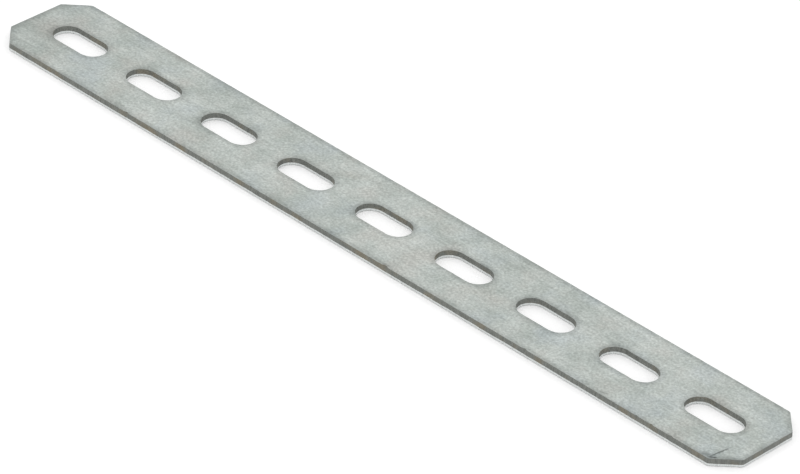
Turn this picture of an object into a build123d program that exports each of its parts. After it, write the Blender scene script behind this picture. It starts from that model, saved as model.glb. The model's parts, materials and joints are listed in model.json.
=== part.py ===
from build123d import *
import math
import os

# Mending plate: one flat strip cut from galvanised steel sheet, with a row of
# equal slots along its middle and its four corners cut off.
# Millimetres, +Z up. X runs along the strip and Y across it. The origin is the
# middle of the underside, which is the face the plate lies on.

# the strip
plate_length = 300.0
plate_width = 35.0
plate_thickness = 2.5
corner_cut = 7.0  # each leg of the 45 degree cut across a corner

# the slots, evenly spaced on the strip's centre line
slot_count = 9
slot_length = 20.0  # end to end
slot_width = 9.5
end_margin = 20.0  # from the end of the strip to the centre of the first slot
slot_pitch = (plate_length - 2 * end_margin) / (slot_count - 1)

# the punched edge, the same round the outline and in every slot: the punch
# comes from below, where the sheet rolls over and the tool smooths the wall,
# and the rest of the thickness breaks off and leans back from it
roll_width = 0.6
roll_depth = 0.2
roll_lean = 0.55  # how far along its two tangents the curve is pulled, 0 to 1
smooth_height = 1.0  # from the underside to the top of the smooth wall
break_back = 0.12  # how far the top edge stands back from the smooth wall
break_height = plate_thickness - smooth_height
break_angle = math.degrees(math.atan2(break_back, break_height))

# where a corner cut meets an edge the outline is rounded, by this much more
# than the rollover is wide
round_beyond_roll = 0.5
corner_round = roll_width + round_beyond_roll

# how far a cutting tool runs past the metal that it cuts
overrun = 1.0


def rolled_edge(outline, start_y, inward):
    """The metal missing where the sheet rolls over, swept round an outline.

    The outline runs along X where it crosses X = 0 at start_y, and inward is
    +1 or -1, the way along Y from there into the metal.
    """
    section = Plane(origin=(0, start_y, 0), x_dir=(0, 1, 0), z_dir=(1, 0, 0))
    face_edge = inward * roll_width
    outside = -inward * overrun
    curve = Bezier(
        (0, roll_depth),
        (0, (1 - roll_lean) * roll_depth),
        ((1 - roll_lean) * face_edge, 0),
        (face_edge, 0),
    )
    rest = Polyline(
        (face_edge, 0),
        (face_edge, -overrun),
        (outside, -overrun),
        (outside, roll_depth),
        (0, roll_depth),
    )
    path = Pos(0, 0, -smooth_height) * outline
    return sweep(section * make_face(curve + rest), path=path)


# the blank, drawn where the smooth wall ends and the broken one begins
blank = Rectangle(plate_length, plate_width)
blank = chamfer(blank.vertices(), corner_cut)
blank = fillet(blank.vertices(), corner_round)
blank = Pos(0, 0, smooth_height) * blank
plate = extrude(blank, -smooth_height)
plate += extrude(blank, break_height, taper=break_angle)
plate -= rolled_edge(blank.face().outer_wire(), -plate_width / 2, 1)

# every slot, wider above the smooth wall
slot = Pos(0, 0, smooth_height) * SlotOverall(slot_length, slot_width)
slot_tools = [
    extrude(slot, -smooth_height - overrun),
    extrude(slot, break_height + overrun, taper=-break_angle),
    rolled_edge(slot.face().outer_wire(), slot_width / 2, 1),
]
for tool in slot_tools:
    plate -= GridLocations(slot_pitch, 0, slot_count, 1) * tool

plate.label = "plate"
os.makedirs("parts", exist_ok=True)
export_step(plate, "parts/plate.step")
print(f"plate: slots {slot_pitch:.2f} mm apart, volume {plate.volume:.1f} mm3")
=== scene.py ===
import json
import math
import bpy
import numpy as np
from mathutils import Matrix, Vector, noise


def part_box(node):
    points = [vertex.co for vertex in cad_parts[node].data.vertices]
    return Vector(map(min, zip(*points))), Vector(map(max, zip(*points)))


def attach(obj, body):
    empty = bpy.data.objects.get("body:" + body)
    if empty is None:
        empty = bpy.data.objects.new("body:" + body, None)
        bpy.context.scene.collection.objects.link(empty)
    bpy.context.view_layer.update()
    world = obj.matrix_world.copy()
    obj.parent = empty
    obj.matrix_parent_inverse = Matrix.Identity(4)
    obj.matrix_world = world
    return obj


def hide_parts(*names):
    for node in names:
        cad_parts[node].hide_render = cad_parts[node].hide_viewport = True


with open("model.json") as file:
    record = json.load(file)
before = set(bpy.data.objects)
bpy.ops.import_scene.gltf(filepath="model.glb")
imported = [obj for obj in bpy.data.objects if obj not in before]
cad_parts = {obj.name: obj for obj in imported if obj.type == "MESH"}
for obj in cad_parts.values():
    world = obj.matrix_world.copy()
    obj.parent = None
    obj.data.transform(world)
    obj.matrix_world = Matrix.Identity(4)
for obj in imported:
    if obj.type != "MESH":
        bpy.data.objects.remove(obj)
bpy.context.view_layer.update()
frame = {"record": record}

# ------------------------------------------------------------- mending plate
# One strip of hot-dip galvanised steel, with a row of round-ended slots and
# its corners cut off, all punched in one press from below. Each cut edge rolls
# over underneath, is smooth for the tool's first bite and breaks off above it.

MM = 0.001
low, high = (Vector(corner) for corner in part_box("plate"))
length, width, thickness = high - low
record = frame["record"]
end_slots = next(mount["dims"] for mount in record["mounts"] if mount["name"] == "slots_end")
slot_count = len(record["physics"]["openings"])
slot_length = end_slots["slot_length_mm"] * MM
slot_width = 2 * end_slots["hole_r_mm"] * MM
slot_pitch = end_slots["spacing_x_mm"] * MM / (slot_count - 1)
corner_cut = 7.0 * MM
corner_round = 1.1 * MM
roll_width = 0.6 * MM
roll_depth = 0.2 * MM
smooth_height = 1.0 * MM
break_back = 0.12 * MM
rim_width = 1.0 * MM
point_spacing = 0.5 * MM
tiny = 0.01 * MM


def linear(code):
    """An sRGB hex colour as linear numbers."""
    parts = [int(code[i : i + 2], 16) / 255 for i in (1, 3, 5)]
    return tuple(c / 12.92 if c <= 0.04045 else ((c + 0.055) / 1.055) ** 2.4 for c in parts) + (1.0,)


def add(tree, kind, inputs, **settings):
    """Add a node with its settings, and set or link its inputs: a node stands for its first output."""
    made = tree.nodes.new(kind)
    for name, value in settings.items():
        setattr(made, name, value)
    for name, value in inputs.items():
        if isinstance(value, bpy.types.Node):
            value = value.outputs[0]
        if isinstance(value, bpy.types.NodeSocket):
            tree.links.new(value, made.inputs[name])
        else:
            made.inputs[name].default_value = value
    return made


# Hot-dip galvanised sheet, rolled flat while it is made, so it has no bright
# spangle: a dull pale grey skin with soft clouds about a centimetre across,
# greener, bluer and warmer by turns, a fine grain, and a darker rim round
# every cut edge. The grain of real zinc is finer, and is drawn 0.8 mm coarse
# so that it shows.
zinc = bpy.data.materials.new("hot_dip_galvanised_steel")
zinc.use_nodes = True
tree = zinc.node_tree
shader = tree.nodes["Principled BSDF"]
shader.inputs["Metallic"].default_value = 1.0
place = add(tree, "ShaderNodeTexCoord", {}).outputs["Object"]
cloud = add(tree, "ShaderNodeTexNoise", {
    "Vector": place,
    "Scale": 1 / (9 * MM),
    "Detail": 5.0,
    "Roughness": 0.62,
})
tint = add(tree, "ShaderNodeTexNoise", {
    "Vector": place,
    "Scale": 1 / (15 * MM),
    "Detail": 3.0,
    "Roughness": 0.55,
})
grain = add(tree, "ShaderNodeTexNoise", {
    "Vector": place,
    "Scale": 1 / (0.8 * MM),
    "Detail": 3.0,
    "Roughness": 0.6,
})
cloudy = add(tree, "ShaderNodeMapRange", {"Value": cloud, "From Min": 0.3, "From Max": 0.7})
warm = add(tree, "ShaderNodeMapRange", {"Value": tint, "From Min": 0.52, "From Max": 0.7, "To Max": 0.45})
cool = add(tree, "ShaderNodeMapRange", {"Value": tint, "From Min": 0.48, "From Max": 0.3, "To Max": 0.45})
skin = add(tree, "ShaderNodeMix", {0: cloudy, 6: linear("#afb6b1"), 7: linear("#c3c8c4")}, data_type="RGBA")
skin = add(tree, "ShaderNodeMix", {0: warm, 6: skin.outputs[2], 7: linear("#bfbcb6")}, data_type="RGBA")
skin = add(tree, "ShaderNodeMix", {0: cool, 6: skin.outputs[2], 7: linear("#b4bdc0")}, data_type="RGBA")

# rolling lines, drawn 1.6 mm apart and ten times as long, askew to the strip
askew = add(tree, "ShaderNodeMapping", {
    "Vector": place,
    "Location": (0, 0, 0.7 * MM),
    "Rotation": (0, 0, math.radians(-52)),
    "Scale": (0.1, 1, 1),
})
streak = add(tree, "ShaderNodeTexNoise", {"Vector": askew, "Scale": 1 / (1.6 * MM), "Detail": 3.0})
grainy = add(tree, "ShaderNodeMapRange", {
    "Value": grain,
    "From Min": 0.3,
    "From Max": 0.7,
    "To Min": 0.79,
    "To Max": 1.21,
})
streaky = add(tree, "ShaderNodeMapRange", {
    "Value": streak,
    "From Min": 0.3,
    "From Max": 0.7,
    "To Min": 0.94,
    "To Max": 1.06,
})
shade = add(tree, "ShaderNodeMath", {0: grainy, 1: streaky}, operation="MULTIPLY")

# the rim: how far in from the nearest cut edge a point lies, seen from above
side = add(tree, "ShaderNodeVectorMath", {0: place}, operation="ABSOLUTE")
side = add(tree, "ShaderNodeSeparateXYZ", {"Vector": side}).outputs
from_side = add(tree, "ShaderNodeMath", {0: width / 2, 1: side["Y"]}, operation="SUBTRACT")
from_end = add(tree, "ShaderNodeMath", {0: length / 2, 1: side["X"]}, operation="SUBTRACT")
from_cut = add(tree, "ShaderNodeMath", {0: from_side, 1: from_end}, operation="ADD")
from_cut = add(tree, "ShaderNodeMath", {0: from_cut, 1: corner_cut}, operation="SUBTRACT")
from_cut = add(tree, "ShaderNodeMath", {0: from_cut, 1: math.sqrt(0.5)}, operation="MULTIPLY")
along = add(tree, "ShaderNodeSeparateXYZ", {"Vector": place}).outputs["X"]
along = add(tree, "ShaderNodeMath", {0: along, 1: slot_pitch / 2, 2: -slot_pitch / 2}, operation="WRAP")
along = add(tree, "ShaderNodeMath", {0: along}, operation="ABSOLUTE")
along = add(tree, "ShaderNodeMath", {0: along, 1: (slot_length - slot_width) / 2}, operation="SUBTRACT")
along = add(tree, "ShaderNodeMath", {0: along, 1: 0.0}, operation="MAXIMUM")
from_slot = add(tree, "ShaderNodeCombineXYZ", {"X": along, "Y": side["Y"]})
from_slot = add(tree, "ShaderNodeVectorMath", {0: from_slot}, operation="LENGTH").outputs["Value"]
from_slot = add(tree, "ShaderNodeMath", {0: from_slot, 1: slot_width / 2}, operation="SUBTRACT")
depth = add(tree, "ShaderNodeMath", {0: from_side, 1: from_end}, operation="MINIMUM")
depth = add(tree, "ShaderNodeMath", {0: depth, 1: from_cut}, operation="MINIMUM")
depth = add(tree, "ShaderNodeMath", {0: depth, 1: from_slot}, operation="MINIMUM")
ragged = add(tree, "ShaderNodeMapRange", {
    "Value": cloud,
    "From Min": 0.3,
    "From Max": 0.7,
    "To Min": -0.5 * MM,
    "To Max": 0.5 * MM,
})
depth = add(tree, "ShaderNodeMath", {0: depth, 1: ragged}, operation="ADD")
rim = add(tree, "ShaderNodeMapRange", {
    "Value": depth,
    "From Min": 0.1 * MM,
    "From Max": 2.3 * MM,
    "To Min": 0.76,
    "To Max": 1.0,
})
shade = add(tree, "ShaderNodeMath", {0: shade, 1: rim}, operation="MULTIPLY")

# painted shade: the rolled rim underneath, between the wall and the flat of the underside,
# is drawn a darker grey than the faces on either side of it, standing in for the contact shadow at the table
up = add(tree, "ShaderNodeSeparateXYZ", {"Vector": place}).outputs["Z"]
painted_contact_shade = add(tree, "ShaderNodeMath", {
    0: up,
    1: roll_depth / 2,
    2: roll_depth / 2 - tiny / 2,
}, operation="COMPARE")
painted_contact_shade = add(tree, "ShaderNodeMapRange", {"Value": painted_contact_shade, "To Min": 1.0, "To Max": 0.5})
shade = add(tree, "ShaderNodeMath", {0: shade, 1: painted_contact_shade}, operation="MULTIPLY")

# scratches and smudges on the top face, and one broad patch of painted shade over its left
# end: place, turn, half length and half width in millimetres and degrees, and how dark
wander = add(tree, "ShaderNodeVectorMath", {
    0: grain.outputs["Color"],
    "Scale": 0.5 * MM,
}, operation="SCALE")
loose = add(tree, "ShaderNodeVectorMath", {0: place, 1: wander}, operation="ADD")
for x, y, turn, half_length, half_width, dark in (
    (143.2, -12.6, 83, 5.2, 0.45, 0.60),
    (143.7, -15.6, 42, 1.6, 0.50, 0.60),
    (141.4, -15.9, 20, 2.6, 1.3, 0.28),
    (147.5, -12.4, 48, 3.6, 1.2, 0.22),
    (102.5, -15.8, 15, 1.6, 0.8, 0.25),
    (17.4, -16.4, 10, 2.2, 0.8, 0.25),
    (28.6, -5.6, 75, 2.0, 0.7, 0.14),
    (-71.0, 11.5, 35, 3.0, 0.6, 0.12),
    # painted shade: the left end of the face is drawn a little darker, where less light falls on it
    (-140.0, 0.0, 0, 24.0, 22.0, 0.07),
):
    spot = add(tree, "ShaderNodeMapping", {
        "Vector": loose,
        "Location": (x * MM, y * MM, thickness),
        "Rotation": (0, 0, math.radians(turn)),
        "Scale": (half_length * MM, half_width * MM, 1 * MM),
    }, vector_type="TEXTURE")
    spot = add(tree, "ShaderNodeTexGradient", {"Vector": spot}, gradient_type="SPHERICAL")
    spot = add(tree, "ShaderNodeMapRange", {
        "Value": spot.outputs["Fac"],
        "From Max": 0.6,
        "To Min": 1.0,
        "To Max": 1 - dark,
    })
    shade = add(tree, "ShaderNodeMath", {0: shade, 1: spot}, operation="MULTIPLY")
grey = add(tree, "ShaderNodeCombineColor", {"Red": shade, "Green": shade, "Blue": shade})
skin = add(tree, "ShaderNodeMix", {
    0: 1.0,
    6: skin.outputs[2],
    7: grey,
}, data_type="RGBA", blend_type="MULTIPLY")
tree.links.new(skin.outputs[2], shader.inputs["Base Color"])
dull = add(tree, "ShaderNodeMapRange", {
    "Value": cloud,
    "From Min": 0.3,
    "From Max": 0.7,
    "To Min": 0.56,
    "To Max": 0.46,
})
tree.links.new(dull.outputs[0], shader.inputs["Roughness"])
bump = add(tree, "ShaderNodeBump", {"Height": grain, "Strength": 0.25, "Distance": 0.03 * MM})
tree.links.new(bump.outputs[0], shader.inputs["Normal"])

# The smooth wall: zinc that the tool dragged along the cut, pale and with a
# soft shine, with fine lines in the tool's direction, drawn 0.6 mm apart so
# that they show.
dragged = bpy.data.materials.new("zinc_dragged_over_sheared_steel")
dragged.use_nodes = True
tree = dragged.node_tree
shader = tree.nodes["Principled BSDF"]
shader.inputs["Metallic"].default_value = 1.0
place = add(tree, "ShaderNodeTexCoord", {}).outputs["Object"]
drawn = add(tree, "ShaderNodeMapping", {"Vector": place, "Scale": (1, 1, 0.08)})
lines = add(tree, "ShaderNodeTexNoise", {"Vector": drawn, "Scale": 1 / (0.6 * MM), "Detail": 3.0})
lined = add(tree, "ShaderNodeMapRange", {"Value": lines, "From Min": 0.3, "From Max": 0.7})
skin = add(tree, "ShaderNodeMix", {0: lined, 6: linear("#cfd3d2"), 7: linear("#e3e6e5")}, data_type="RGBA")
tree.links.new(skin.outputs[2], shader.inputs["Base Color"])
dull = add(tree, "ShaderNodeMapRange", {
    "Value": lines,
    "From Min": 0.3,
    "From Max": 0.7,
    "To Min": 0.34,
    "To Max": 0.22,
})
tree.links.new(dull.outputs[0], shader.inputs["Roughness"])
bump = add(tree, "ShaderNodeBump", {"Height": lines, "Strength": 0.2, "Distance": 0.02 * MM})
tree.links.new(bump.outputs[0], shader.inputs["Normal"])

# The broken wall: bare steel that tore and did not take the zinc, rough,
# dull and darker than the face, with a brown breath of rust here and there.
# The tears are drawn 0.6 mm coarse so that they show.
torn = bpy.data.materials.new("torn_bare_steel")
torn.use_nodes = True
tree = torn.node_tree
shader = tree.nodes["Principled BSDF"]
shader.inputs["Metallic"].default_value = 0.85
shader.inputs["Roughness"].default_value = 0.62
place = add(tree, "ShaderNodeTexCoord", {}).outputs["Object"]
drawn = add(tree, "ShaderNodeMapping", {"Vector": place, "Scale": (1, 1, 0.25)})
tears = add(tree, "ShaderNodeTexNoise", {
    "Vector": drawn,
    "Scale": 1 / (0.6 * MM),
    "Detail": 4.0,
    "Roughness": 0.65,
})
patches = add(tree, "ShaderNodeTexNoise", {"Vector": place, "Scale": 1 / (7 * MM), "Detail": 3.0})
deep = add(tree, "ShaderNodeMapRange", {"Value": tears, "From Min": 0.3, "From Max": 0.7})
rusty = add(tree, "ShaderNodeMapRange", {
    "Value": patches,
    "From Min": 0.5,
    "From Max": 0.75,
    "To Max": 0.7,
})
skin = add(tree, "ShaderNodeMix", {0: deep, 6: linear("#717470"), 7: linear("#90928d")}, data_type="RGBA")
skin = add(tree, "ShaderNodeMix", {0: rusty, 6: skin.outputs[2], 7: linear("#90856f")}, data_type="RGBA")
tree.links.new(skin.outputs[2], shader.inputs["Base Color"])
bump = add(tree, "ShaderNodeBump", {"Height": tears, "Strength": 0.6, "Distance": 0.05 * MM})
tree.links.new(bump.outputs[0], shader.inputs["Normal"])

# The section of every edge, from the underside's rim up the wall to the top's
# rim: first number into the metal, second number up.
section = []
roll_steps = 5
section.append((rim_width, 0.0))
for step in range(roll_steps + 1):
    turn = math.radians(90) * step / roll_steps
    section.append((roll_width * (1 - math.sin(turn)), roll_depth * (1 - math.cos(turn))))
for share in (0.3, 0.6, 1.0):
    section.append((0.0, roll_depth + (smooth_height - roll_depth) * share))
for share in (0.03, 0.2, 0.4, 0.6, 0.8, 1.0):
    section.append((break_back * share, smooth_height + (thickness - smooth_height) * share))
for inset in (0.1 * MM, 0.25 * MM, 0.5 * MM):
    section.append((break_back + inset, thickness))
section.append((rim_width, thickness))
section_curve = bpy.data.curves.new("edge_section", "CURVE")
section_curve.dimensions = "3D"
spline = section_curve.splines.new("POLY")
spline.points.add(len(section) - 1)
for point, (inward, up) in zip(spline.points, section):
    point.co = (-inward, -up, 0, 1)
section_object = bpy.data.objects.new("edge_section", section_curve)
bpy.context.scene.collection.objects.link(section_object)

# The plate's tree: the section runs round the outline and round every slot,
# two faces fill what is left between the rims, and each height gets its metal.
sizes = {
    "Length": length,
    "Width": width,
    "Thickness": thickness,
    "Corner cut": corner_cut,
    "Corner round": corner_round,
    "Slot length": slot_length,
    "Slot width": slot_width,
    "Slot pitch": slot_pitch,
    "Slot count": slot_count,
    "Rim width": rim_width,
    "Point spacing": point_spacing,
    "Edge section": section_object,
}
tree = bpy.data.node_groups.new("punched_plate", "GeometryNodeTree")
keys = {}
for name, value in sizes.items():
    kind = {float: "NodeSocketFloat", int: "NodeSocketInt"}.get(type(value), "NodeSocketObject")
    keys[name] = tree.interface.new_socket(name=name, in_out="INPUT", socket_type=kind).identifier
tree.interface.new_socket(name="Geometry", in_out="OUTPUT", socket_type="NodeSocketGeometry")
given = add(tree, "NodeGroupInput", {}).outputs

strip = add(tree, "GeometryNodeCurvePrimitiveQuadrilateral", {
    "Width": given["Length"],
    "Height": given["Width"],
})
strip = add(tree, "GeometryNodeFilletCurve", {
    "Curve": strip,
    "Count": 1,
    "Radius": given["Corner cut"],
}, mode="POLY")
strip = add(tree, "GeometryNodeFilletCurve", {
    "Curve": strip,
    "Count": 6,
    "Radius": given["Corner round"],
}, mode="POLY")
strip = add(tree, "GeometryNodeResampleCurve", {
    "Curve": strip,
    "Length": given["Point spacing"],
}, mode="LENGTH")

slot = add(tree, "GeometryNodeCurvePrimitiveQuadrilateral", {
    "Width": given["Slot length"],
    "Height": given["Slot width"],
})
end = add(tree, "ShaderNodeMath", {0: given["Slot width"], 1: 0.5}, operation="MULTIPLY")
slot = add(tree, "GeometryNodeFilletCurve", {
    "Curve": slot,
    "Count": 16,
    "Radius": end,
    "Limit Radius": True,
}, mode="POLY")
slot = add(tree, "GeometryNodeResampleCurve", {
    "Curve": slot,
    "Length": given["Point spacing"],
}, mode="LENGTH")
slot = add(tree, "GeometryNodeReverseCurve", {"Curve": slot})
gaps = add(tree, "ShaderNodeMath", {0: given["Slot count"], 1: 1.0}, operation="SUBTRACT")
first = add(tree, "ShaderNodeMath", {0: gaps, 1: given["Slot pitch"]}, operation="MULTIPLY")
first = add(tree, "ShaderNodeMath", {0: first, 1: -0.5}, operation="MULTIPLY")
first = add(tree, "ShaderNodeCombineXYZ", {"X": first})
pitch = add(tree, "ShaderNodeCombineXYZ", {"X": given["Slot pitch"]})
row = add(tree, "GeometryNodeMeshLine", {
    "Count": given["Slot count"],
    "Start Location": first,
    "Offset": pitch,
})
slots = add(tree, "GeometryNodeInstanceOnPoints", {"Points": row, "Instance": slot})
slots = add(tree, "GeometryNodeRealizeInstances", {"Geometry": slots})

cuts = add(tree, "GeometryNodeJoinGeometry", {"Geometry": strip})
tree.links.new(slots.outputs[0], cuts.inputs[0])
cuts = add(tree, "GeometryNodeSetCurveNormal", {"Curve": cuts}, mode="Z_UP")
profile = add(tree, "GeometryNodeObjectInfo", {"Object": given["Edge section"]}).outputs["Geometry"]
edges = add(tree, "GeometryNodeCurveToMesh", {"Curve": cuts, "Profile Curve": profile})
edges = add(tree, "GeometryNodeFlipFaces", {"Mesh": edges})

tangent = add(tree, "GeometryNodeInputTangent", {})
inward = add(tree, "ShaderNodeVectorMath", {0: (0, 0, 1), 1: tangent}, operation="CROSS_PRODUCT")
inward = add(tree, "ShaderNodeVectorMath", {0: inward, "Scale": given["Rim width"]}, operation="SCALE")
rims = add(tree, "GeometryNodeSetPosition", {"Geometry": cuts, "Offset": inward})
face = add(tree, "GeometryNodeFillCurve", {"Curve": rims})
underside = add(tree, "GeometryNodeFlipFaces", {"Mesh": face})
lift = add(tree, "ShaderNodeCombineXYZ", {"Z": given["Thickness"]})
top = add(tree, "GeometryNodeTransform", {"Geometry": face, "Translation": lift})

plate = add(tree, "GeometryNodeJoinGeometry", {"Geometry": edges})
for face in (underside, top):
    tree.links.new(face.outputs[0], plate.inputs[0])
plate = add(tree, "GeometryNodeMergeByDistance", {"Geometry": plate, "Distance": tiny})
plate = add(tree, "GeometryNodeRealizeInstances", {"Geometry": plate})
position = add(tree, "GeometryNodeInputPosition", {})
above = add(tree, "ShaderNodeSeparateXYZ", {"Vector": position}).outputs["Z"]
metals = ((-thickness, zinc), (roll_depth, dragged), (smooth_height, torn), (thickness - tiny, zinc))
for start, metal in metals:
    from_here = add(tree, "FunctionNodeCompare", {"A": above, "B": start}, operation="GREATER_THAN")
    plate = add(tree, "GeometryNodeSetMaterial", {
        "Geometry": plate,
        "Selection": from_here,
        "Material": metal,
    })
result = tree.nodes.new("NodeGroupOutput")
tree.links.new(plate.outputs[0], result.inputs[0])

maker = bpy.data.objects.new("plate_maker", bpy.data.meshes.new("plate_maker"))
bpy.context.scene.collection.objects.link(maker)
modifier = maker.modifiers.new("punched_plate", "NODES")
modifier.node_group = tree
for name, value in sizes.items():
    modifier[keys[name]] = value
mesh = bpy.data.meshes.new_from_object(maker.evaluated_get(bpy.context.evaluated_depsgraph_get()))
for helper in (maker, section_object):
    bpy.data.objects.remove(helper)
# A mesh made by nodes starts with an empty material slot, which goes
if mesh.materials[0] is None:
    mesh.materials.pop(index=0)

points = np.empty(len(mesh.vertices) * 3)
mesh.vertices.foreach_get("co", points)
points = points.reshape(-1, 3)


def ripple(where, size, seed):
    """Smooth noise from -1 to 1 in the plane of the plate, with lumps of this size."""
    return np.array([noise.noise(Vector((x / size, y / size, seed))) for x, y in where[:, :2]])


# What the press and use did to the edges: the line where the break starts
# wanders, and the top edge has a fine burr.
break_wander = 0.11 * MM
break_tremble = 0.05 * MM
break_drop = 0.1 * MM
burr_height = 0.05 * MM
burr_share = 0.35
on_top = points[:, 2] > thickness - tiny
on_break = (points[:, 2] > smooth_height - tiny) & (points[:, 2] < smooth_height + 0.1 * MM)
burr = np.zeros(len(points), bool)
broken = mesh.materials.find(torn.name)
for face in mesh.polygons:
    if face.material_index == broken:
        burr[list(face.vertices)] = True
burr &= on_top
wandering = points[on_break]
points[on_break, 2] += break_wander * ripple(wandering, 5 * MM, 1)
points[on_break, 2] += break_tremble * ripple(wandering, 1.2 * MM, 2)
points[on_break, 2] -= break_drop
points[burr, 2] += burr_height * np.clip(ripple(points[burr], 2 * MM, 3) + burr_share, 0, 1)

# Knocks from handling, on the front edge and the back walls of two slots:
# where, half length, how far the metal is pushed in, and how far it is lifted
front, slot_back = -width / 2, slot_width / 2
knock_depth, knock_height = 1.2 * MM, 1.6 * MM
for place, wall, reach, push, rise in (
    (-91.3, front, 1.1, 0.35, 0.10),
    (17.4, front, 1.5, 0.30, 0.25),
    (72.8, front, 0.9, 0.30, 0.12),
    (116.0, front, 0.8, 0.25, 0.05),
    (121.5, front, 0.6, 0.25, 0.06),
    (129.0, front, 1.0, 0.20, 0.05),
    (-38.0, front, 0.8, 0.12, 0.03),
    (-123.0, front, 0.9, 0.12, 0.04),
    (-28.0, slot_back, 0.7, 0.20, 0.03),
    (92.0, slot_back, 0.7, 0.20, 0.03),
):
    away = np.abs(points[:, 0] - place * MM) / (reach * MM)
    bump = np.where(away < 1, (1 - away**2) ** 2, 0)
    behind = (points[:, 1] - wall) / knock_depth
    bump *= np.where(behind > -0.1, np.clip(1 - behind, 0, 1), 0)
    bump *= np.clip(1 - (thickness - points[:, 2]) / knock_height, 0, 1)
    points[:, 1] += bump * push * MM
    points[:, 2] += bump * rise * MM * on_top
mesh.vertices.foreach_set("co", points.ravel())
mesh.shade_smooth()
mesh.set_sharp_from_angle(angle=math.radians(40))

mending_plate = bpy.data.objects.new("mending_plate", mesh)
bpy.context.scene.collection.objects.link(mending_plate)
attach(mending_plate, "root")
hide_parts("plate")

# --------------------------------------------------------------------- table
# A plain white laminate table top under the plate. It carries the plate's
# shadow, and looks white to the eye and in what the metal reflects.

table_size = 6.0
table_glow = 0.24
table_mesh = bpy.data.meshes.new("white_table")
corners = [(x * table_size / 2, y * table_size / 2, low.z) for x, y in ((-1, -1), (1, -1), (1, 1), (-1, 1))]
table_mesh.from_pydata(corners, [], [(0, 1, 2, 3)])
laminate = bpy.data.materials.new("white_laminate")
laminate.use_nodes = True
tree = laminate.node_tree
shader = tree.nodes["Principled BSDF"]
shader.inputs["Base Color"].default_value = linear("#f2f2f2")
shader.inputs["Roughness"].default_value = 0.7
shader.inputs["Specular IOR Level"].default_value = 0.1
shader.inputs["Emission Color"].default_value = (1, 1, 1, 1)
rays = add(tree, "ShaderNodeLightPath", {}).outputs
seen = add(tree, "ShaderNodeMath", {0: rays["Is Camera Ray"], 1: rays["Is Glossy Ray"]}, operation="ADD")
seen = add(tree, "ShaderNodeMath", {0: seen, 1: rays["Is Transmission Ray"]}, operation="ADD")
glow = add(tree, "ShaderNodeMath", {0: seen, 1: table_glow}, operation="MULTIPLY")
tree.links.new(glow.outputs[0], shader.inputs["Emission Strength"])
table_mesh.materials.append(laminate)
table = bpy.data.objects.new("white_table", table_mesh)
bpy.context.scene.collection.objects.link(table)

# ---------------------------------------------------------- light and camera
# An even white room and one large soft lamp, behind the plate on the left. The
# camera has a long lens, and looks from the front right, tilted a little.

room = bpy.data.worlds.new("white_room")
room.use_nodes = True
room.node_tree.nodes["Background"].inputs["Color"].default_value = (1, 1, 1, 1)
room.node_tree.nodes["Background"].inputs["Strength"].default_value = 0.92
bpy.context.scene.world = room

lamp_light = bpy.data.lights.new("soft_lamp", "AREA")
lamp_light.size = 0.9
lamp_light.energy = 1.0
lamp = bpy.data.objects.new("soft_lamp", lamp_light)
lamp.location = (-0.5, 0.5, 1.1)
lamp.rotation_euler = lamp.location.to_track_quat("Z", "Y").to_euler()
bpy.context.scene.collection.objects.link(lamp)

aim = Vector((9.3 * MM, -2.9 * MM, high.z))
azimuth, elevation, tilt = math.radians(41.72), math.radians(33.12), math.radians(4.54)
distance = 1.694
level = math.cos(elevation)
back = Vector((math.sin(azimuth) * level, -math.cos(azimuth) * level, math.sin(elevation)))
lens = bpy.data.cameras.new("camera")
lens.lens = 261.3
lens.sensor_width = 36.0
camera = bpy.data.objects.new("camera", lens)
camera.location = aim + back * distance
camera.rotation_euler = (back.to_track_quat("Z", "Y").to_matrix() @ Matrix.Rotation(tilt, 3, "Z")).to_euler()
bpy.context.scene.collection.objects.link(camera)
bpy.context.scene.camera = camera
bpy.context.scene.view_settings.view_transform = "Standard"
